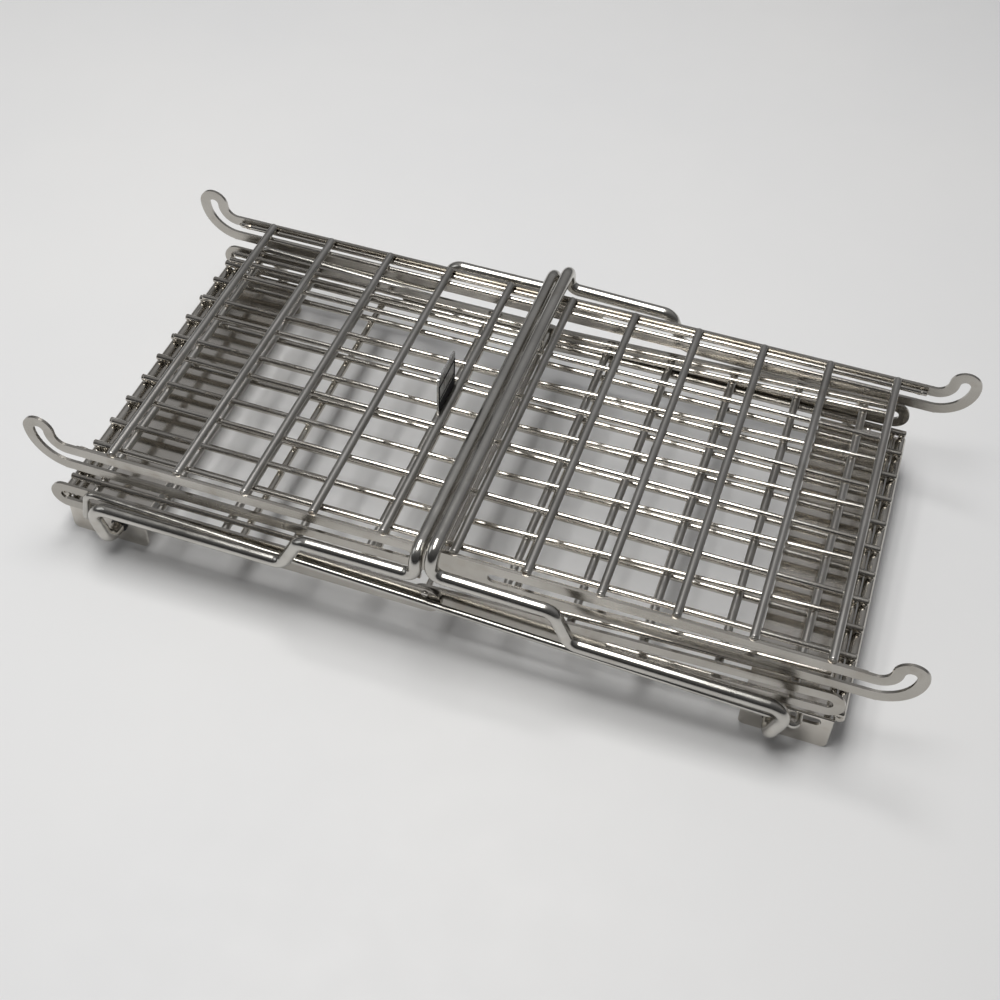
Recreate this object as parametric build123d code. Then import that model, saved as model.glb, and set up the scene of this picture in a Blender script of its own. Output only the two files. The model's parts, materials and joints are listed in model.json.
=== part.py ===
from build123d import *
import os

os.makedirs("parts", exist_ok=True)

# Folded two-level wire rack, millimetres.  X runs along its length, Y across it, Z up.
# The origin is on the floor, under the middle of the whole folded rack.

# --- driving dimensions -------------------------------------------------------------
BASE_X = -11.5            # middle of the base: the loose tray lies to one side of it
PITCH = 45.6              # spacing of the cross wires
CROSS_D = 5.4             # cross wires of the trays
LONG_D = 3.8              # wires along the trays
WELD = 0.1                # depth to which welded wires sink into each other
PLATE = 2.0               # thickness of the side rails
TRAY_RAIL_OUT = 124.6     # outer face of the tray's side rails, from the middle plane

# upper tray, stored upside down
TRAY_Z = 81.0             # height of its cross wires
TRAY_WIRE_X = 2.4         # its wires are welded a little off its middle
TRAY_CROSS_COUNT = 11
TRAY_LONG_Y = (22.6, 67.7, 112.9)
TRAY_RAIL_HEIGHT = 21.2
TRAY_SLOT = 7.0
TRAY_SLOT_START = 28.0
HOOK_BEND_X = 255.5       # where the rail starts to curl up into its hook
HOOK_BEND_R = 18.0
HOOK_NOTCH_X = 260.0      # corner of the notch that takes a crossbar
TRAY_EDGE_WIRE = 251.5

# middle tray: two halves on one hinge pin
MID_X = -13.5             # hinge pin
MID_PIN_Z = 43.0
MID_HALF = 259.0
MID_CROSS_COUNT = 5
MID_RAIL_TOP = 47.5
MID_RAIL_HEIGHT = 21.0
MID_RAIL_OUT = {"left": 129.3, "right": 127.0}
MID_SLOT = 7.0
MID_SLOT_START = 118.0
MID_EDGE_Y = 120.3        # edge wires of both halves
MID_TILT = 2.2            # degrees by which the right half rests raised
MID_WIRE_GAP = 6.0        # its long wires stop this far from the pin
PIN_D = 4.0
PIN_HALF = 129.5
PIN_HEAD_D = 4.8
PIN_HEAD = 1.2

# base shelf
BASE_LONG_D = 4.6
BASE_LONG_Z = 34.4
BASE_LONG_HALF = 258.5
BASE_LONG_PITCH = 22.6
BASE_LONG_COUNT = 10
BASE_EDGE_Y = 122.0
BASE_END_WIRE_X = 249.5
BASE_END_WIRE_D = 4.0
BASE_BAR_D = 5.0
BASE_BAR_X = (47.0, 132.0)
BASE_BAR_HALF = 124.6
END_BAR_D = 7.0
END_BAR_X = 256.0
END_BAR_HALF = 122.4

# end brackets, folded from sheet
SHEET = 1.5
BRACKET_IN = 199.5
BRACKET_WEB_OUT = 251.5
BRACKET_OUT = 254.0
BRACKET_TOP = 28.3
FLANGE = 2.0
FLANGE_OUT = 124.6
BRACKET_CORNER = 4.0
FOLD_R = 1.2
STAY_SLOT_X = (227.0, 247.0)
STAY_SLOT_Z = 23.0
STAY_SLOT_H = 6.8

# folding legs
LEG_D = 8.6
LEG_Y = 139.0             # middle of each arm, from the middle plane
PIVOT_X = 218.0
PIVOT_Z = 16.0
PIVOT_IN = 116.5          # inner end of each pivot, from the middle plane
PIVOT_FIT = 0.08          # radial running clearance in the bracket
LEG_KNEE = (228.0, 46.0)
LEG_JOGGLE_LOW = (92.5, 46.0)
LEG_JOGGLE_HIGH = (80.0, 71.0)
CROSSBAR_X = 4.2
CROSSBAR_Z = 89.5
LEG_LIFT = {"left": 0.0, "right": 1.5}   # degrees by which each leg lies raised
RING_D = 11.0
RING = 1.0
RING_IN = 124.85
RING_GRIP = 0.05
CLIP_D = 12.0
CLIP = 1.0
CLIP_OUT = 122.3

# side stays
STAY_D = 4.6
STAY_Y = 132.0
STAY_PIN_Z = STAY_SLOT_Z - (STAY_SLOT_H - STAY_D) / 2 - WELD
STAY_PIN_LEFT = -237.0
STAY_TOP_LEFT = (-232.0, 48.8)
STAY_TOP_RIGHT = (223.0, 27.3)
STAY_PIN_RIGHT = 234.0
STAY_IN = 119.5

# plain badge, upright against a cross wire of the upper tray, between its middle long wires
BADGE_WIRE = 4            # the cross wire that holds it, counted from the left
BADGE_Y = (-18.0, 12.6)
BADGE_Z = (79.0, 112.3)
BADGE_T = 1.2
BADGE_CORNER = 1.5


# --- helpers ------------------------------------------------------------------------
def wire_x(y, z, x_low, x_high, diameter):
    """A straight wire along X with eased ends."""
    plane = Plane(origin=(x_low, y, z), z_dir=(1, 0, 0))
    rod = Solid.make_cylinder(diameter / 2, x_high - x_low, plane)
    return ease_ends(rod, diameter)


def wire_y(x, z, y_half, diameter):
    """A straight wire across the rack with eased ends."""
    plane = Plane(origin=(x, -y_half, z), z_dir=(0, 1, 0))
    return ease_ends(Solid.make_cylinder(diameter / 2, 2 * y_half, plane), diameter)


def ease_ends(rod, diameter):
    rims = rod.edges().filter_by(GeomType.CIRCLE)
    return rod.fillet(0.2 * diameter, rims)


def bent_rod(points, radii, diameter):
    """A round rod bent along a polyline."""
    path = FilletPolyline(*points, radius=radii)
    section = Plane(origin=path @ 0, z_dir=path % 0) * Circle(diameter / 2)
    return sweep(section, path=path)


def ribbon(path, width):
    """A flat strip of one width, round at both ends, along a path."""
    return Face(Wire(path.edges()).offset_2d(width / 2))


def upright(face, y_low, thickness):
    """Stands a face drawn in X and Z up as a plate from y_low outwards."""
    return Pos(0, y_low + thickness, 0) * Rot(90, 0, 0) * extrude(face, thickness)


def group(shapes):
    return Compound(children=list(shapes))


def mirrored(values):
    return [sign * value for value in values for sign in (-1, 1)]


nodes = {}


# --- upper tray ---------------------------------------------------------------------
def plate_low(side, outer):
    """Lower Y of a rail plate whose outer face is this far from the middle."""
    return outer - PLATE if side > 0 else -outer


def tray_rail(side):
    """A plate with a long slot in each half, curled up into a hook at both ends."""
    slot_z = TRAY_Z - TRAY_RAIL_HEIGHT / 2

    def curled(start):
        bend = CenterArc((HOOK_BEND_X, slot_z + HOOK_BEND_R), HOOK_BEND_R, -90, 90)
        return Line((start, slot_z), (HOOK_BEND_X, slot_z)) + bend

    face = ribbon(curled(0), TRAY_RAIL_HEIGHT)
    face += Pos(HOOK_NOTCH_X / 2, slot_z) * Rectangle(HOOK_NOTCH_X, TRAY_RAIL_HEIGHT)
    face -= ribbon(curled(TRAY_SLOT_START), TRAY_SLOT)
    half = upright(face, plate_low(side, TRAY_RAIL_OUT), PLATE)
    return half + mirror(half, Plane.YZ)


for name, side in (("front", -1), ("rear", 1)):
    nodes[f"tray_rail_{name}"] = tray_rail(side)

tray_half = TRAY_RAIL_OUT - PLATE + WELD
tray_reach = PITCH * (TRAY_CROSS_COUNT - 1) / 2
tray_cross_x = [TRAY_WIRE_X - tray_reach + PITCH * i for i in range(TRAY_CROSS_COUNT)]
tray_long_z = TRAY_Z - (CROSS_D + LONG_D) / 2 + WELD
nodes["tray_cross_wires"] = group(wire_y(x, TRAY_Z, tray_half, CROSS_D) for x in tray_cross_x)
nodes["tray_long_wires"] = group(
    wire_x(y, tray_long_z, tray_cross_x[0] - CROSS_D / 2, tray_cross_x[-1] + CROSS_D / 2, LONG_D)
    for y in mirrored(TRAY_LONG_Y)
)
edge_y = TRAY_RAIL_OUT - PLATE - LONG_D / 2 + WELD
nodes["tray_edge_wires"] = group(
    wire_x(y, tray_long_z, -TRAY_EDGE_WIRE, TRAY_EDGE_WIRE, LONG_D) for y in (-edge_y, edge_y)
)


def badge():
    """A plain plate welded to the left side of its cross wire."""
    x = tray_cross_x[BADGE_WIRE] - (CROSS_D + BADGE_T) / 2 + WELD
    width = BADGE_Y[1] - BADGE_Y[0]
    height = BADGE_Z[1] - BADGE_Z[0]
    plate = Pos(x, sum(BADGE_Y) / 2, sum(BADGE_Z) / 2) * Box(BADGE_T, width, height)
    return fillet(plate.edges().filter_by(Axis.X), BADGE_CORNER)


nodes["badge_plate"] = badge()


# --- middle tray --------------------------------------------------------------------
def mid_rail(side, direction, outer):
    """One rail of a half tray: round ends, a long slot and a hole for the hinge pin."""
    rail_z = MID_RAIL_TOP - MID_RAIL_HEIGHT / 2
    ends = sorted((0, direction * (MID_HALF - MID_RAIL_HEIGHT / 2)))
    slot = sorted((direction * MID_SLOT_START, direction * (MID_HALF - MID_RAIL_HEIGHT / 2)))
    face = ribbon(Line((MID_X + ends[0], rail_z), (MID_X + ends[1], rail_z)), MID_RAIL_HEIGHT)
    face -= ribbon(Line((MID_X + slot[0], rail_z), (MID_X + slot[1], rail_z)), MID_SLOT)
    face -= Pos(MID_X, MID_PIN_Z) * Circle(PIN_D / 2 + PIVOT_FIT)
    return upright(face, plate_low(side, outer), PLATE)


def half_tray(name, direction, tilt):
    """Half of the middle tray: two rails with wires welded between them."""
    outer = MID_RAIL_OUT[name]
    turn = Pos(MID_X, 0, MID_PIN_Z) * Rot(0, -tilt, 0) * Pos(-MID_X, 0, -MID_PIN_Z)
    for label, side in (("front", -1), ("rear", 1)):
        nodes[f"mid_{name}_rail_{label}"] = turn * mid_rail(side, direction, outer)
    long_z = MID_PIN_Z + (CROSS_D + LONG_D) / 2 - WELD
    long_ends = sorted((MID_X + direction * MID_WIRE_GAP, MID_X + direction * (MID_HALF - 12)))
    cross = [MID_X + direction * PITCH * (i + 1) for i in range(MID_CROSS_COUNT)]
    nodes[f"mid_{name}_cross_wires"] = turn * group(
        wire_y(x, MID_PIN_Z, outer - PLATE + WELD, CROSS_D) for x in cross
    )
    nodes[f"mid_{name}_long_wires"] = turn * group(
        wire_x(y, long_z, long_ends[0], long_ends[1], LONG_D)
        for y in mirrored((*TRAY_LONG_Y, MID_EDGE_Y))
    )


half_tray("left", -1, 0)
half_tray("right", 1, MID_TILT)

nodes["mid_hinge_pin"] = Solid.make_cylinder(
    PIN_D / 2, 2 * PIN_HALF, Plane(origin=(MID_X, -PIN_HALF, MID_PIN_Z), z_dir=(0, 1, 0))
)


def pin_cap(side):
    plane = Plane(origin=(MID_X, side * PIN_HALF, MID_PIN_Z), z_dir=(0, side, 0))
    cap = Solid.make_cylinder(PIN_HEAD_D / 2, PIN_HEAD, plane)
    outer_rim = cap.edges().filter_by(GeomType.CIRCLE).sort_by(Axis.Y)[-1 if side > 0 else 0]
    return cap.fillet(0.8 * PIN_HEAD, [outer_rim])


nodes["mid_hinge_caps"] = group(pin_cap(side) for side in (-1, 1))


# --- base shelf ---------------------------------------------------------------------
base_long_y = [BASE_LONG_PITCH * (i + 0.5) for i in range(BASE_LONG_COUNT // 2)]
nodes["base_long_wires"] = group(
    wire_x(y, BASE_LONG_Z, BASE_X - BASE_LONG_HALF, BASE_X + BASE_LONG_HALF, BASE_LONG_D)
    for y in mirrored((*base_long_y, BASE_EDGE_Y))
)


def under_base(diameter):
    """Height of a bar welded under the base's long wires."""
    return BASE_LONG_Z - (BASE_LONG_D + diameter) / 2 + WELD


nodes["base_end_wires"] = group(
    wire_y(BASE_X + x, under_base(BASE_END_WIRE_D), END_BAR_HALF, BASE_END_WIRE_D)
    for x in mirrored((BASE_END_WIRE_X,))
)
nodes["base_support_bars"] = group(
    wire_y(BASE_X + x, under_base(BASE_BAR_D), BASE_BAR_HALF, BASE_BAR_D) for x in mirrored(BASE_BAR_X)
)
nodes["base_end_bars"] = group(
    wire_y(BASE_X + x, under_base(END_BAR_D), END_BAR_HALF, END_BAR_D) for x in mirrored((END_BAR_X,))
)


def bracket(direction):
    """A sheet channel across one end: a flat top and a flange down each side."""
    length = BRACKET_OUT - BRACKET_IN
    outside = Pos(0, BRACKET_TOP / 2) * Rectangle(2 * FLANGE_OUT, BRACKET_TOP)
    outside = fillet(outside.vertices().group_by(Axis.Y)[-1], FOLD_R)
    inside_width = 2 * (FLANGE_OUT - FLANGE)
    inside = Pos(0, (BRACKET_TOP - SHEET) / 2) * Rectangle(inside_width, BRACKET_TOP - SHEET)
    inner_end = Plane(origin=(BRACKET_IN, 0, 0), x_dir=(0, 1, 0), z_dir=(1, 0, 0))
    body = inner_end * extrude(outside - inside, length)
    side_view = Pos(BRACKET_IN + length / 2, BRACKET_TOP / 2) * Rectangle(length, BRACKET_TOP)
    side_view = fillet(side_view.vertices().group_by(Axis.Y)[0], BRACKET_CORNER)
    side_view -= Pos(PIVOT_X, PIVOT_Z) * Circle(LEG_D / 2 + PIVOT_FIT)
    slot_low = (STAY_SLOT_X[0] + STAY_SLOT_H / 2, STAY_SLOT_Z)
    slot_high = (STAY_SLOT_X[1] - STAY_SLOT_H / 2, STAY_SLOT_Z)
    side_view -= ribbon(Line(slot_low, slot_high), STAY_SLOT_H)
    body &= upright(side_view, -FLANGE_OUT, 2 * FLANGE_OUT)
    step = BRACKET_OUT - BRACKET_WEB_OUT
    body -= Pos(BRACKET_OUT - step / 2, 0, BRACKET_TOP) * Box(step, inside_width, 2 * SHEET)
    if direction < 0:
        body = mirror(body, Plane.YZ)
    return Pos(BASE_X, 0, 0) * body


nodes["bracket_left"] = bracket(-1)
nodes["bracket_right"] = bracket(1)


def side_stay(side):
    """A rod along one side, hooked into the slots of both brackets."""
    points = [
        (STAY_PIN_LEFT, STAY_IN, STAY_PIN_Z),
        (STAY_PIN_LEFT, STAY_Y, STAY_PIN_Z),
        (STAY_TOP_LEFT[0], STAY_Y, STAY_TOP_LEFT[1]),
        (STAY_TOP_RIGHT[0], STAY_Y, STAY_TOP_RIGHT[1]),
        (STAY_PIN_RIGHT, STAY_Y, STAY_PIN_Z),
        (STAY_PIN_RIGHT, STAY_IN, STAY_PIN_Z),
    ]
    points = [(BASE_X + x, side * y, z) for x, y, z in points]
    return bent_rod(points, (5.0, 8.0, 6.0, 5.0), STAY_D)


for name, side in (("front", -1), ("rear", 1)):
    nodes[f"side_stay_{name}"] = side_stay(side)


# --- folding legs -------------------------------------------------------------------
def leg_rod():
    """The left leg about the base's middle: pivots, arms with a joggle, one crossbar."""
    arm = [
        (-PIVOT_X, PIVOT_IN, PIVOT_Z),
        (-PIVOT_X, LEG_Y, PIVOT_Z),
        (-LEG_KNEE[0], LEG_Y, LEG_KNEE[1]),
        (-LEG_JOGGLE_LOW[0], LEG_Y, LEG_JOGGLE_LOW[1]),
        (-LEG_JOGGLE_HIGH[0], LEG_Y, LEG_JOGGLE_HIGH[1]),
        (-CROSSBAR_X, LEG_Y, LEG_JOGGLE_HIGH[1]),
        (-CROSSBAR_X, LEG_Y, CROSSBAR_Z),
    ]
    front = [(x, -y, z) for x, y, z in arm]
    radii = (8.0, 10.0, 9.0, 9.0, 8.0, 10.0)
    return bent_rod(front + arm[::-1], radii + radii[::-1], LEG_D)


def ring(side, outer, y_low, thickness):
    plane = Plane(origin=(-PIVOT_X, side * y_low, PIVOT_Z), z_dir=(0, side, 0))
    disc = Solid.make_cylinder(outer / 2, thickness, plane)
    bore = Solid.make_cylinder(LEG_D / 2 - RING_GRIP, thickness, plane)
    return disc - bore


def place_leg(shape, name):
    """Lays a left-leg piece in place: raised about its pivot, and turned round for the right."""
    lift = Pos(-PIVOT_X, 0, PIVOT_Z) * Rot(0, -LEG_LIFT[name], 0) * Pos(PIVOT_X, 0, -PIVOT_Z)
    shape = lift * shape
    if name == "right":
        shape = Rot(0, 0, 180) * shape
    return Pos(BASE_X, 0, 0) * shape


for name in ("left", "right"):
    nodes[f"leg_{name}"] = place_leg(leg_rod(), name)
    rings = group(ring(side, RING_D, RING_IN, RING) for side in (-1, 1))
    nodes[f"leg_{name}_rings"] = place_leg(rings, name)
    clips = group(ring(side, CLIP_D, CLIP_OUT - CLIP, CLIP) for side in (-1, 1))
    nodes[f"leg_{name}_clips"] = place_leg(clips, name)

for name, shape in nodes.items():
    export_step(shape, f"parts/{name}.step")
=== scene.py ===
"""The looks of the folded wire rack: stainless steel materials, welds, badge, floor, light and camera."""
import json
import math
import random

import bmesh
import bpy
from mathutils import Euler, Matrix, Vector


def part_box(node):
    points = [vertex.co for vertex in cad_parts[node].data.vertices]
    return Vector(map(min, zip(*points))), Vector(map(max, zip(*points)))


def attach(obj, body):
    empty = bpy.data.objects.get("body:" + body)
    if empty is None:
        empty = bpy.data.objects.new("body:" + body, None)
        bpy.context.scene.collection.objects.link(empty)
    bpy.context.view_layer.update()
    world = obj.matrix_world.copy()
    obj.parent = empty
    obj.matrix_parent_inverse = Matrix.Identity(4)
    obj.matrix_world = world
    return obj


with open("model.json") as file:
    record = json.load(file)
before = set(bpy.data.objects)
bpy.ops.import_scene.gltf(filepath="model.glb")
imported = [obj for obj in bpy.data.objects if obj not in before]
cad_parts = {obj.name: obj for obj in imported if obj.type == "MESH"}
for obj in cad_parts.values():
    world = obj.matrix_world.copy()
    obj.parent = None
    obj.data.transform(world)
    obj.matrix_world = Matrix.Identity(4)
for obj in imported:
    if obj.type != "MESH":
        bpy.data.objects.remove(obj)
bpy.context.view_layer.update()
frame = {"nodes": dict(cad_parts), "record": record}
chance = random.Random(7)

MM = 0.001

# --- camera -------------------------------------------------------------------------
CAMERA_PLACE = (0.1886, -0.6493, 0.7597)
CAMERA_TURN = (41.55, -1.79, 18.80)            # degrees about X, Y, Z
LENS = 53.14
SENSOR = 36
NEAREST = 0.01                                 # clipping distance

# --- materials, as numbers ----------------------------------------------------------
# How marks are drawn out: a small number stretches the noise along that axis.
ALONG_X = (0.02, 1, 1)
ALONG_Y = (1, 0.02, 1)
ALONG_ROD = (0.12, 0.12, 1)                    # the legs' rods run along X and along Y
ALONG_BADGE = (1, 1, 0.05)
FINE = 0.004 * MM                              # depth of polishing marks
DRAWN = 0.008 * MM                             # depth of drawing marks on bright wire
BROWNING = (0.72, 0.64, 0.55)                  # a stain's colour as a share of the dull steel's

# Material slot, bright colour, dull colour, roughness from and to, direction and depth of the marks.
STEELS = (
    ("long_wire", (0.68, 0.655, 0.61), (0.50, 0.47, 0.425), (0.10, 0.17), ALONG_X, DRAWN),
    ("cross_wire", (0.47, 0.46, 0.44), (0.37, 0.36, 0.34), (0.27, 0.38), ALONG_Y, FINE),
    ("base_wire", (0.62, 0.595, 0.55), (0.45, 0.425, 0.385), (0.10, 0.18), ALONG_X, DRAWN),
    ("rod", (0.59, 0.575, 0.54), (0.47, 0.455, 0.425), (0.15, 0.23), ALONG_ROD, FINE),
    ("rail_plate", (0.51, 0.49, 0.455), (0.40, 0.38, 0.345), (0.17, 0.27), ALONG_X, FINE),
    ("bracket_sheet", (0.72, 0.69, 0.64), (0.60, 0.57, 0.52), (0.13, 0.22), ALONG_X, FINE),
    ("hinge_pin", (0.68, 0.66, 0.62), (0.53, 0.51, 0.47), (0.14, 0.24), ALONG_Y, FINE),
    ("bright_clip", (0.60, 0.585, 0.56), (0.48, 0.465, 0.44), (0.24, 0.36), ALONG_Y, FINE),
    ("badge", (0.58, 0.58, 0.57), (0.47, 0.47, 0.46), (0.20, 0.32), ALONG_BADGE, FINE),
)

SHEET_SLOTS = ("rail_plate", "bracket_sheet", "badge")
EDGE_EASE = 0.25 * MM                          # bevel on the edges of sheet metal
EDGE_ANGLE = math.radians(50)                  # only edges sharper than this are eased

# --- welds, as numbers --------------------------------------------------------------
SAME_POINT = 0.001 * MM                        # mesh points closer than this are one
CROSSING_BEAD = (2.3 * MM, 2.3 * MM, 1.0 * MM)     # half sizes of the beads
TIP_BEAD = (2.9 * MM, 1.6 * MM, 2.4 * MM)
EDGE_BEAD = (6.5 * MM, 2.2 * MM, 2.0 * MM)
CROSSING_RISE = 0.57                           # from the crossing wire's axis towards the long wire's
TIP_INSET = 0.5 * MM                           # how far a tip's bead stands inside the rail
TIP_DROP = 0.4 * MM
EDGE_BEAD_INSET = 5 * MM                       # from the end of an edge wire
DENT, JITTER = 0.10, 0.03                      # unevenness of a bead, as a share of its size
DENT_WAVES = 5
DENT_SHIFT = 900                               # turns the dents from one bead to the next, per metre
RIGHT_TILT = math.radians(2.2)                 # the right half tray lies raised by this

# --- badge, as numbers --------------------------------------------------------------
LABEL_LINE = 1.5 * MM                          # the label's outline
LABEL_MARGIN = 6.5 * MM                        # bare steel above the label
LABEL_RIM = 0.3 * MM                           # bare steel at its sides
LABEL_THICK = 0.25 * MM
LABEL_LIFT = 0.3                               # how far its middle stands off the plate, in thicknesses
BLOCK_SHARE = 0.34                             # height of the dark lower block as a share of the label
BAR_LOW, BAR_HIGH = 1.4, 2.0                   # the short bar over the block, in line widths

# --- surroundings, as numbers -------------------------------------------------------
FLOOR_SIZE = 14
ROOM_STRENGTH = 0.6
# Brightness of the room, at positions from 0 to 1: from the horizon up, and from the front to the rear.
UP_SHADES = ((0.0, 0.22), (0.3, 0.32), (0.7, 0.50), (1.0, 0.58))
REAR_SHADES = ((0.0, 0.20), (0.35, 0.40), (0.62, 0.85), (0.80, 1.0))
COOL = 1.01                                    # blue as a share of the room's red and green


# --- materials ----------------------------------------------------------------------
class Shader:
    """A small helper for building one material's nodes."""

    def __init__(self, name, metallic=0.0):
        self.material = bpy.data.materials.new(name)
        self.material.use_nodes = True
        self.nodes = self.material.node_tree.nodes
        self.links = self.material.node_tree.links
        self.surface = self.nodes["Principled BSDF"]
        self.surface.inputs["Metallic"].default_value = metallic
        self.place = self.nodes.new("ShaderNodeTexCoord").outputs["Object"]

    def noise(self, scale, detail=4.0, stretch=(1, 1, 1)):
        """Noise in object space; stretch under 1 draws it out along that axis."""
        mapping = self.nodes.new("ShaderNodeMapping")
        mapping.inputs["Scale"].default_value = stretch
        self.links.new(self.place, mapping.inputs["Vector"])
        texture = self.nodes.new("ShaderNodeTexNoise")
        texture.inputs["Scale"].default_value = scale
        texture.inputs["Detail"].default_value = detail
        self.links.new(mapping.outputs["Vector"], texture.inputs["Vector"])
        return texture.outputs["Fac"]

    def spread(self, value, between, to=(0.0, 1.0)):
        """The stretch of value between two limits, spread evenly over another stretch."""
        node = self.nodes.new("ShaderNodeMapRange")
        for socket, number in zip(("From Min", "From Max", "To Min", "To Max"), (*between, *to)):
            node.inputs[socket].default_value = number
        self.links.new(value, node.inputs["Value"])
        return node.outputs["Result"]

    def mix(self, factor, first, second):
        """A blend of two colours; the first may be another node's output."""
        node = self.nodes.new("ShaderNodeMix")
        node.data_type = "RGBA"
        self.links.new(factor, node.inputs["Factor"])
        for socket, colour in zip(("A", "B"), (first, second)):
            target = [s for s in node.inputs if s.name == socket and s.type == "RGBA"][0]
            if isinstance(colour, bpy.types.NodeSocket):
                self.links.new(colour, target)
            else:
                target.default_value = (*colour, 1)
        return [s for s in node.outputs if s.type == "RGBA"][0]

    def bump(self, height, distance, strength=1.0):
        node = self.nodes.new("ShaderNodeBump")
        node.inputs["Strength"].default_value = strength
        node.inputs["Distance"].default_value = distance
        self.links.new(height, node.inputs["Height"])
        self.links.new(node.outputs["Normal"], self.surface.inputs["Normal"])

    def feed(self, name, value):
        self.links.new(value, self.surface.inputs[name])


def steel(name, bright, dull, rough, grain, grain_depth):
    """Stainless steel with drawn-out polishing marks, uneven sheen and a little staining."""
    shader = Shader(name, metallic=1.0)
    cloud = shader.spread(shader.noise(28, detail=5.0), between=(0.35, 0.68))
    marks = shader.noise(900, detail=3.0, stretch=grain)
    stain = shader.spread(shader.noise(75, detail=6.0), between=(0.58, 0.75), to=(0.0, 0.35))
    brown = tuple(part * share for part, share in zip(dull, BROWNING))
    shader.feed("Base Color", shader.mix(stain, shader.mix(cloud, bright, dull), brown))
    shader.feed("Roughness", shader.spread(marks, between=(0.3, 0.7), to=rough))
    shader.bump(marks, grain_depth, strength=0.6)
    return shader.material


def weld_steel():
    """Bright fused beads, straw-tinted at the edge of the heat."""
    shader = Shader("weld_steel", metallic=1.0)
    tint = shader.spread(shader.noise(420, detail=5.0), between=(0.40, 0.66))
    shader.feed("Base Color", shader.mix(tint, (0.68, 0.66, 0.62), (0.42, 0.36, 0.29)))
    shader.feed("Roughness", shader.spread(shader.noise(700), between=(0.3, 0.7), to=(0.20, 0.42)))
    shader.bump(shader.noise(1100, detail=5.0), 0.12 * MM)
    return shader.material


def oxide():
    """Black oxide on spring steel."""
    shader = Shader("black_oxide", metallic=0.6)
    wear = shader.spread(shader.noise(600, detail=6.0), between=(0.5, 0.75), to=(0.0, 0.5))
    shader.feed("Base Color", shader.mix(wear, (0.025, 0.025, 0.027), (0.14, 0.13, 0.12)))
    shader.feed("Roughness", shader.spread(shader.noise(900), between=(0.3, 0.7), to=(0.30, 0.55)))
    shader.bump(shader.noise(1500), 0.03 * MM)
    return shader.material


def dark_enamel():
    """The label's dark bars on the badge."""
    shader = Shader("dark_enamel")
    mottle = shader.spread(shader.noise(350, detail=5.0), between=(0.35, 0.7))
    shader.feed("Base Color", shader.mix(mottle, (0.012, 0.012, 0.014), (0.03, 0.03, 0.032)))
    shader.feed("Roughness", shader.spread(shader.noise(800), between=(0.3, 0.7), to=(0.55, 0.72)))
    shader.bump(shader.noise(1300), 0.02 * MM)
    shader.surface.inputs["Specular IOR Level"].default_value = 0.12
    return shader.material


def floor_material():
    """Pale matt board, a little uneven in tone."""
    shader = Shader("pale_floor")
    patch = shader.spread(shader.noise(2.2, detail=3.0), between=(0.3, 0.7))
    shader.feed("Base Color", shader.mix(patch, (0.76, 0.765, 0.775), (0.80, 0.80, 0.80)))
    shader.feed("Roughness", shader.spread(shader.noise(35), between=(0.3, 0.7), to=(0.48, 0.62)))
    shader.bump(shader.noise(260), 0.05 * MM, strength=0.25)
    shader.surface.inputs["Specular IOR Level"].default_value = 0.3
    return shader.material


looks = {}
for slot, bright, dull, rough, grain, depth in STEELS:
    looks[slot] = steel(f"{slot}_steel", bright, dull, rough, grain, depth)
looks["dark_ring"] = oxide()
welds = weld_steel()
enamel = dark_enamel()

slot_of = {part["node"]: part["material_slot"] for part in frame["record"]["subparts"]}
for node, part in frame["nodes"].items():
    for index in range(len(part.material_slots)):
        part.material_slots[index].material = looks[slot_of[node]]
    if slot_of[node] in SHEET_SLOTS:
        edge = part.modifiers.new("eased_edges", "BEVEL")
        edge.width = EDGE_EASE
        edge.segments = 2
        edge.limit_method = "ANGLE"
        edge.angle_limit = EDGE_ANGLE
        edge.harden_normals = True


# --- mesh helpers -------------------------------------------------------------------
def solids(node):
    """The box of each separate solid of a CAD node, as (lowest corner, highest corner)."""
    mesh = bmesh.new()
    mesh.from_mesh(frame["nodes"][node].data)
    bmesh.ops.remove_doubles(mesh, verts=mesh.verts, dist=SAME_POINT)
    waiting = set(mesh.verts)
    boxes = []
    while waiting:
        group = [waiting.pop()]
        for vert in group:
            for edge in vert.link_edges:
                other = edge.other_vert(vert)
                if other in waiting:
                    waiting.remove(other)
                    group.append(other)
        corners = [Vector([pick(v.co[i] for v in group) for i in range(3)]) for pick in (min, max)]
        boxes.append(tuple(corners))
    mesh.free()
    return sorted(boxes, key=lambda b: tuple(b[0] + b[1]))


def bead(mesh, centre, radii):
    """One lump of fused metal: a ball pressed and dented at random."""
    made = bmesh.ops.create_icosphere(mesh, subdivisions=2, radius=1.0)["verts"]
    sway = Vector([chance.uniform(-1, 1) for _ in range(3)]).normalized()
    for vert in made:
        wave = math.sin(DENT_WAVES * vert.co.dot(sway) + centre.x * DENT_SHIFT)
        swell = 1 + DENT * wave + chance.uniform(-JITTER, JITTER)
        vert.co = Vector([vert.co[i] * radii[i] * swell for i in range(3)]) + centre


def finish_piece(name, mesh, material, body, smooth=True):
    """Turn a bmesh into a piece that rides on a body."""
    data = bpy.data.meshes.new(name)
    mesh.to_mesh(data)
    mesh.free()
    data.materials.append(material)
    for face in data.polygons:
        face.use_smooth = smooth
    piece = bpy.data.objects.new(name, data)
    bpy.context.scene.collection.objects.link(piece)
    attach(piece, body)


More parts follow.
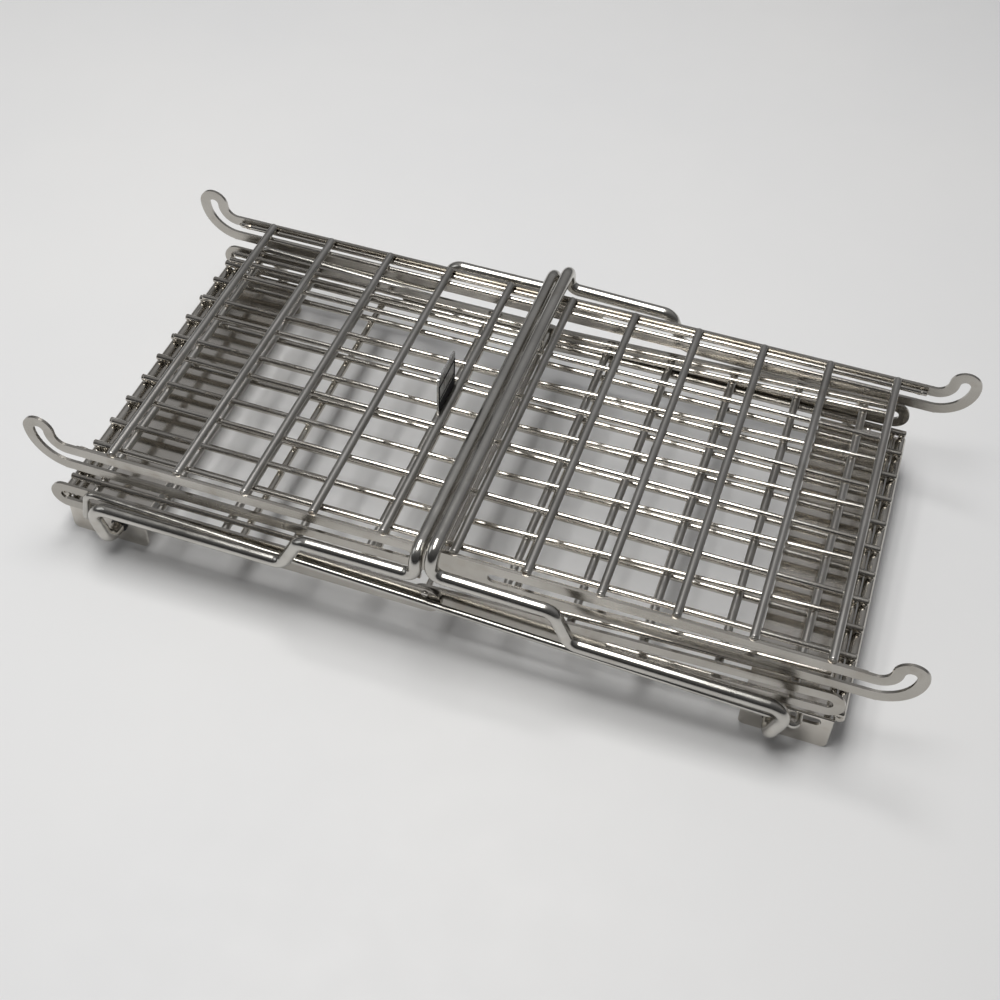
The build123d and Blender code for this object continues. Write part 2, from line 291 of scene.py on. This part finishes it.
# --- welds --------------------------------------------------------------------------
def crossing_welds(mesh, cross_node, long_node, tilt=0.0):
    """A small fused lump wherever a wire across the rack meets one along it."""
    for cross_low, cross_high in solids(cross_node):
        for long_low, long_high in solids(long_node):
            x, y = (cross_low.x + cross_high.x) / 2, (long_low.y + long_high.y) / 2
            if not long_low.x < x < long_high.x:
                continue
            middle = (long_low + long_high) / 2
            long_z = middle.z + (x - middle.x) * math.tan(tilt)
            cross_z = (cross_low.z + cross_high.z) / 2
            bead(mesh, Vector((x, y, cross_z + (long_z - cross_z) * CROSSING_RISE)), CROSSING_BEAD)


def tip_welds(mesh, node, reach):
    """A bead at both tips of each wire across the rack, reach away from the middle."""
    for wire_low, wire_high in solids(node):
        x, z = (wire_low.x + wire_high.x) / 2, (wire_low.z + wire_high.z) / 2
        for y in (-reach, reach):
            bead(mesh, Vector((x, y, z - TIP_DROP)), TIP_BEAD)


def edge_welds(mesh, node):
    """Elongated lumps near the ends of the edge wires, against the rail."""
    for wire_low, wire_high in solids(node):
        y, z = (wire_low.y + wire_high.y) / 2, (wire_low.z + wire_high.z) / 2
        for x in (wire_low.x + EDGE_BEAD_INSET, wire_high.x - EDGE_BEAD_INSET):
            bead(mesh, Vector((x, y, z)), EDGE_BEAD)


for piece, body, prefix, tilt in (
    ("tray_welds", "upper_tray", "tray", 0.0),
    ("left_half_welds", "base", "mid_left", 0.0),
    ("right_half_welds", "right_half_tray", "mid_right", RIGHT_TILT),
):
    lumps = bmesh.new()
    rail_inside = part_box(f"{prefix}_rail_rear")[0].y
    crossing_welds(lumps, f"{prefix}_cross_wires", f"{prefix}_long_wires", tilt)
    tip_welds(lumps, f"{prefix}_cross_wires", rail_inside - TIP_INSET)
    if prefix == "tray":
        edge_welds(lumps, "tray_edge_wires")
    finish_piece(piece, lumps, welds, body)

shelf = bmesh.new()
for node in ("base_end_wires", "base_support_bars", "base_end_bars"):
    crossing_welds(shelf, node, "base_long_wires")
finish_piece("shelf_welds", shelf, welds, "base")


# --- badge label --------------------------------------------------------------------
def label_bars(plate_low, plate_high):
    """A plain outline, a dark lower block and one short bar, as (y from, y to, z from, z to)."""
    line = LABEL_LINE
    front, rear = plate_low.y + LABEL_RIM, plate_high.y - LABEL_RIM
    bottom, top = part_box("tray_cross_wires")[1].z, plate_high.z - LABEL_MARGIN
    block_top = bottom + BLOCK_SHARE * (top - bottom)
    return (
        (front, rear, top - line, top),
        (front, front + line, block_top, top - line),
        (rear - line, rear, block_top, top - line),
        (front, rear, bottom, block_top),
        (front + line, rear - line, block_top + BAR_LOW * line, block_top + BAR_HIGH * line),
    )


def badge_label():
    """The label's raised dark bars, on both faces of the badge."""
    plate_low, plate_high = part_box("badge_plate")
    mesh = bmesh.new()
    for face_x, way in ((plate_low.x, -1), (plate_high.x, 1)):
        for y_from, y_to, z_from, z_to in label_bars(plate_low, plate_high):
            for vert in bmesh.ops.create_cube(mesh, size=1.0)["verts"]:
                vert.co = Vector((
                    face_x + way * (vert.co.x + LABEL_LIFT) * LABEL_THICK,
                    (y_from + y_to) / 2 + vert.co.y * (y_to - y_from),
                    (z_from + z_to) / 2 + vert.co.z * (z_to - z_from),
                ))
    bmesh.ops.recalc_face_normals(mesh, faces=mesh.faces)
    return mesh


finish_piece("badge_label", badge_label(), enamel, "upper_tray", smooth=False)


# --- floor, light and camera --------------------------------------------------------
bpy.ops.mesh.primitive_plane_add(size=FLOOR_SIZE, location=(0, 0, 0))
floor = bpy.context.object
floor.name = "floor"
floor.data.materials.append(floor_material())


def area_light(name, place, aim, width, depth, power, colour):
    lamp = bpy.data.lights.new(name, "AREA")
    lamp.shape = "RECTANGLE"
    lamp.size, lamp.size_y = width, depth
    lamp.energy = power
    lamp.color = colour
    holder = bpy.data.objects.new(name, lamp)
    holder.location = place
    holder.rotation_euler = (Vector(aim) - Vector(place)).to_track_quat("-Z", "Y").to_euler()
    bpy.context.scene.collection.objects.link(holder)


area_light(
    "ceiling_softbox", place=(-0.25, 0.0, 1.9), aim=(0, 0, 0),
    width=1.5, depth=0.75, power=31, colour=(1, 0.99, 0.97),
)
area_light(
    "window_fill", place=(-1.8, -0.6, 1.3), aim=(0, 0, 0.05),
    width=1.0, depth=1.2, power=3, colour=(0.96, 0.98, 1),
)


def shade_ramp(nodes, links, position, stops):
    """Grey that changes with a position from 0 to 1."""
    ramp = nodes.new("ShaderNodeValToRGB")
    elements = ramp.color_ramp.elements
    while len(elements) < len(stops):
        elements.new(0.5)
    for element, (place, grey) in zip(elements, stops):
        element.position = place
        element.color = (grey, grey, grey * COOL, 1)
    links.new(position, ramp.inputs["Fac"])
    return ramp.outputs["Color"]


def room():
    """Even grey walls and ceiling behind the rack, and a dim front half that gives round wires dark edges."""
    world = bpy.data.worlds.new("room")
    world.use_nodes = True
    nodes, links = world.node_tree.nodes, world.node_tree.links
    place = nodes.new("ShaderNodeTexCoord")
    split = nodes.new("ShaderNodeSeparateXYZ")
    links.new(place.outputs["Generated"], split.inputs["Vector"])
    depth = nodes.new("ShaderNodeMapRange")
    depth.inputs["From Min"].default_value = -1.0
    links.new(split.outputs["Y"], depth.inputs["Value"])
    blend = nodes.new("ShaderNodeVectorMath")
    blend.operation = "MULTIPLY"
    links.new(shade_ramp(nodes, links, split.outputs["Z"], UP_SHADES), blend.inputs[0])
    links.new(shade_ramp(nodes, links, depth.outputs["Result"], REAR_SHADES), blend.inputs[1])
    links.new(blend.outputs["Vector"], nodes["Background"].inputs["Color"])
    nodes["Background"].inputs["Strength"].default_value = ROOM_STRENGTH
    bpy.context.scene.world = world


room()

camera = bpy.data.objects.new("camera", bpy.data.cameras.new("camera"))
bpy.context.scene.collection.objects.link(camera)
camera.location = CAMERA_PLACE
camera.rotation_euler = Euler([math.radians(a) for a in CAMERA_TURN], "XYZ")
camera.data.lens = LENS
camera.data.sensor_width = SENSOR
camera.data.clip_start = NEAREST
bpy.context.scene.camera = camera

bpy.context.scene.view_settings.view_transform = "Standard"
